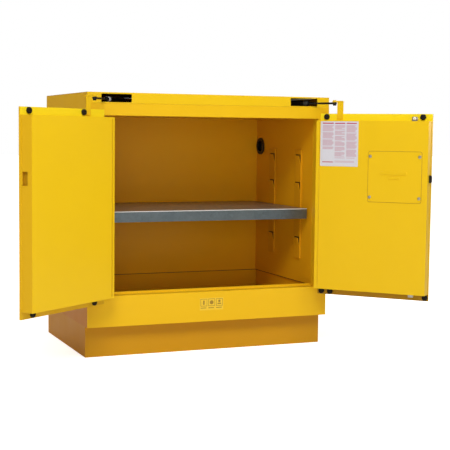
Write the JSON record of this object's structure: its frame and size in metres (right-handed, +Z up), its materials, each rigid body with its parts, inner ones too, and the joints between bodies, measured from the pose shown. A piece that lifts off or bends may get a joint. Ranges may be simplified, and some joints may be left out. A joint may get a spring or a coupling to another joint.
{
  "type": "flammable storage cabinet",
  "caption": "Low double-walled yellow steel cabinet on a recessed plinth, with self-closing doors, a leak-tight sump, an adjustable shelf and side vents.",
  "frame": {"origin": "on the floor under the middle of the cabinet's body: midway between its sides and midway between its front and back", "axes": "+X to the right of a person facing the doors, +Y from the doors to the back, +Z up; the rest pose has both doors open"},
  "size_m": [1.4006, 0.9176, 0.89],
  "materials": {
    "yellow_paint": "semi-gloss safety yellow powder coat",
    "galvanised_steel": "galvanised with a fine spangle",
    "zinc_steel": "bright zinc plate",
    "black_steel": "satin black",
    "black_rubber": "matte black",
    "black_plastic": "fine texture",
    "brass": "turned brass",
    "printed_sheet": "satin printed film"
  },
  "bodies": {
    "cabinet": {"base_plinth": "yellow_paint", "bottom_panel": "yellow_paint", "outer_wrap": "yellow_paint", "top_cover": "yellow_paint", "front_frame": "yellow_paint", "sill_panel": "yellow_paint", "inner_liner": "yellow_paint", "sump_pan": "yellow_paint", "ground_screw": "brass", "sill_label": "printed_sheet", "shelf_standard_left_front": "yellow_paint", "shelf_standard_left_rear": "yellow_paint", "hinge_bracket_left_upper": "yellow_paint", "hinge_bracket_left_lower": "yellow_paint", "vent_body_left": "black_steel", "vent_arrester_left": "black_steel", "closer_mount_left": "galvanised_steel", "shelf_standard_right_front": "yellow_paint", "shelf_standard_right_rear": "yellow_paint", "hinge_bracket_right_upper": "yellow_paint", "hinge_bracket_right_lower": "yellow_paint", "vent_body_right": "black_steel", "vent_arrester_right": "black_steel", "closer_mount_right": "galvanised_steel"},
    "shelf": {"shelf": "galvanised_steel"},
    "left_vent_bung": {"vent_bung_left": "black_plastic"},
    "right_vent_bung": {"vent_bung_right": "black_plastic"},
    "left_door": {"left_door_skin": "yellow_paint", "left_door_pan": "yellow_paint", "left_strike_cup": "yellow_paint", "left_closer_bracket": "yellow_paint", "left_bumper_top_1": "black_rubber", "left_bumper_top_2": "black_rubber", "left_bumper_bottom_1": "black_rubber", "left_bumper_bottom_2": "black_rubber"},
    "right_door": {"right_door_skin": "yellow_paint", "right_door_pan": "yellow_paint", "right_closer_bracket": "yellow_paint", "right_bumper_top_1": "black_rubber", "right_bumper_top_2": "black_rubber", "right_bumper_bottom_1": "black_rubber", "right_bumper_bottom_2": "black_rubber", "right_bumper_bottom_3": "black_rubber", "access_plate": "yellow_paint", "access_plate_screw_1": "zinc_steel", "access_plate_screw_2": "zinc_steel", "access_plate_screw_3": "zinc_steel", "access_plate_screw_4": "zinc_steel", "document_label": "printed_sheet", "handle_housing": "black_plastic"},
    "paddle": {"paddle_handle": "black_steel"},
    "lock": {"lock_cylinder": "zinc_steel"},
    "latch_cam": {"latch_cam": "zinc_steel"},
    "top_rod": {"latch_top_rod": "zinc_steel"},
    "bottom_rod": {"latch_bottom_rod": "zinc_steel"},
    "side_bolt": {"latch_side_bolt": "black_steel"},
    "left_closer_cylinder": {"left_closer_cylinder": "black_steel"},
    "left_closer_rod": {"left_closer_rod": "black_steel"},
    "right_closer_cylinder": {"right_closer_cylinder": "black_steel"},
    "right_closer_rod": {"right_closer_rod": "black_steel"}
  },
  "joints": [
    {"name": "left_door_hinge", "type": "hinge", "parent": "cabinet", "child": "left_door", "pos_m": [-0.405, -0.302, 0.5], "axis": [0, 0, -1], "range_deg": [-144.5, 0.5]},
    {"name": "right_door_hinge", "type": "hinge", "parent": "cabinet", "child": "right_door", "pos_m": [0.405, -0.302, 0.5], "axis": [0, 0, 1], "range_deg": [-132.5, 12.5]},
    {"name": "left_closer_swivel", "type": "hinge", "parent": "cabinet", "child": "left_closer_cylinder", "pos_m": [-0.28, -0.145, 0.868], "axis": [0, 0, -1], "range_deg": [-11.69, 0.06]},
    {"name": "left_closer_stroke", "type": "slide", "parent": "left_closer_cylinder", "child": "left_closer_rod", "axis": [-0.6255, -0.7802, 0], "range_m": [-0.09399, 0.00034]},
    {"name": "right_closer_swivel", "type": "hinge", "parent": "cabinet", "child": "right_closer_cylinder", "pos_m": [0.28, -0.145, 0.868], "axis": [0, 0, 1], "range_deg": [-9.16, 0.88]},
    {"name": "right_closer_stroke", "type": "slide", "parent": "right_closer_cylinder", "child": "right_closer_rod", "axis": [0.5904, -0.8071, 0], "range_m": [-0.0932, 0.00881]},
    {"name": "paddle_pull", "type": "hinge", "parent": "right_door", "child": "paddle", "pos_m": [0.63199, -0.566, 0.65], "axis": [0.6756, -0.7373, 0], "range_deg": [0, 25]},
    {"name": "latch_cam_turn", "type": "hinge", "parent": "right_door", "child": "latch_cam", "pos_m": [0.62389, -0.57344, 0.598], "axis": [-0.7373, -0.6756, 0], "range_deg": [0, 30]},
    {"name": "top_rod_slide", "type": "slide", "parent": "right_door", "child": "top_rod", "axis": [0, 0, -1], "range_m": [0, 0.007]},
    {"name": "bottom_rod_slide", "type": "slide", "parent": "right_door", "child": "bottom_rod", "axis": [0, 0, 1], "range_m": [0, 0.007]},
    {"name": "side_bolt_slide", "type": "slide", "parent": "right_door", "child": "side_bolt", "axis": [-0.6756, 0.7373, 0], "range_m": [0, 0.007]},
    {"name": "lock_turn", "type": "hinge", "parent": "right_door", "child": "lock", "pos_m": [0.63273, -0.56533, 0.566], "axis": [-0.7373, -0.6756, 0], "range_deg": [0, 90]},
    {"name": "left_vent_bung_out", "type": "slide", "parent": "cabinet", "child": "left_vent_bung", "axis": [-1, 0, 0], "range_m": [0, 0.03]},
    {"name": "right_vent_bung_out", "type": "slide", "parent": "cabinet", "child": "right_vent_bung", "axis": [1, 0, 0], "range_m": [0, 0.03]},
    {"name": "shelf_lift", "type": "slide", "parent": "cabinet", "child": "shelf", "axis": [0, 0, 1], "range_m": [0, 0.05]}
  ],
  "couplings": [
    {"joint": "left_closer_swivel", "follows": "left_door_hinge", "ratio": 0.080787},
    {"joint": "left_closer_stroke", "follows": "left_door_hinge", "m_per_rad": 0.037262},
    {"joint": "right_closer_swivel", "follows": "right_door_hinge", "ratio": 0.068994},
    {"joint": "right_closer_stroke", "follows": "right_door_hinge", "m_per_rad": 0.040295},
    {"joint": "latch_cam_turn", "follows": "paddle_pull", "ratio": 1.2},
    {"joint": "top_rod_slide", "follows": "paddle_pull", "m_per_rad": 0.016042},
    {"joint": "bottom_rod_slide", "follows": "paddle_pull", "m_per_rad": 0.016042},
    {"joint": "side_bolt_slide", "follows": "paddle_pull", "m_per_rad": 0.016042}
  ]
}
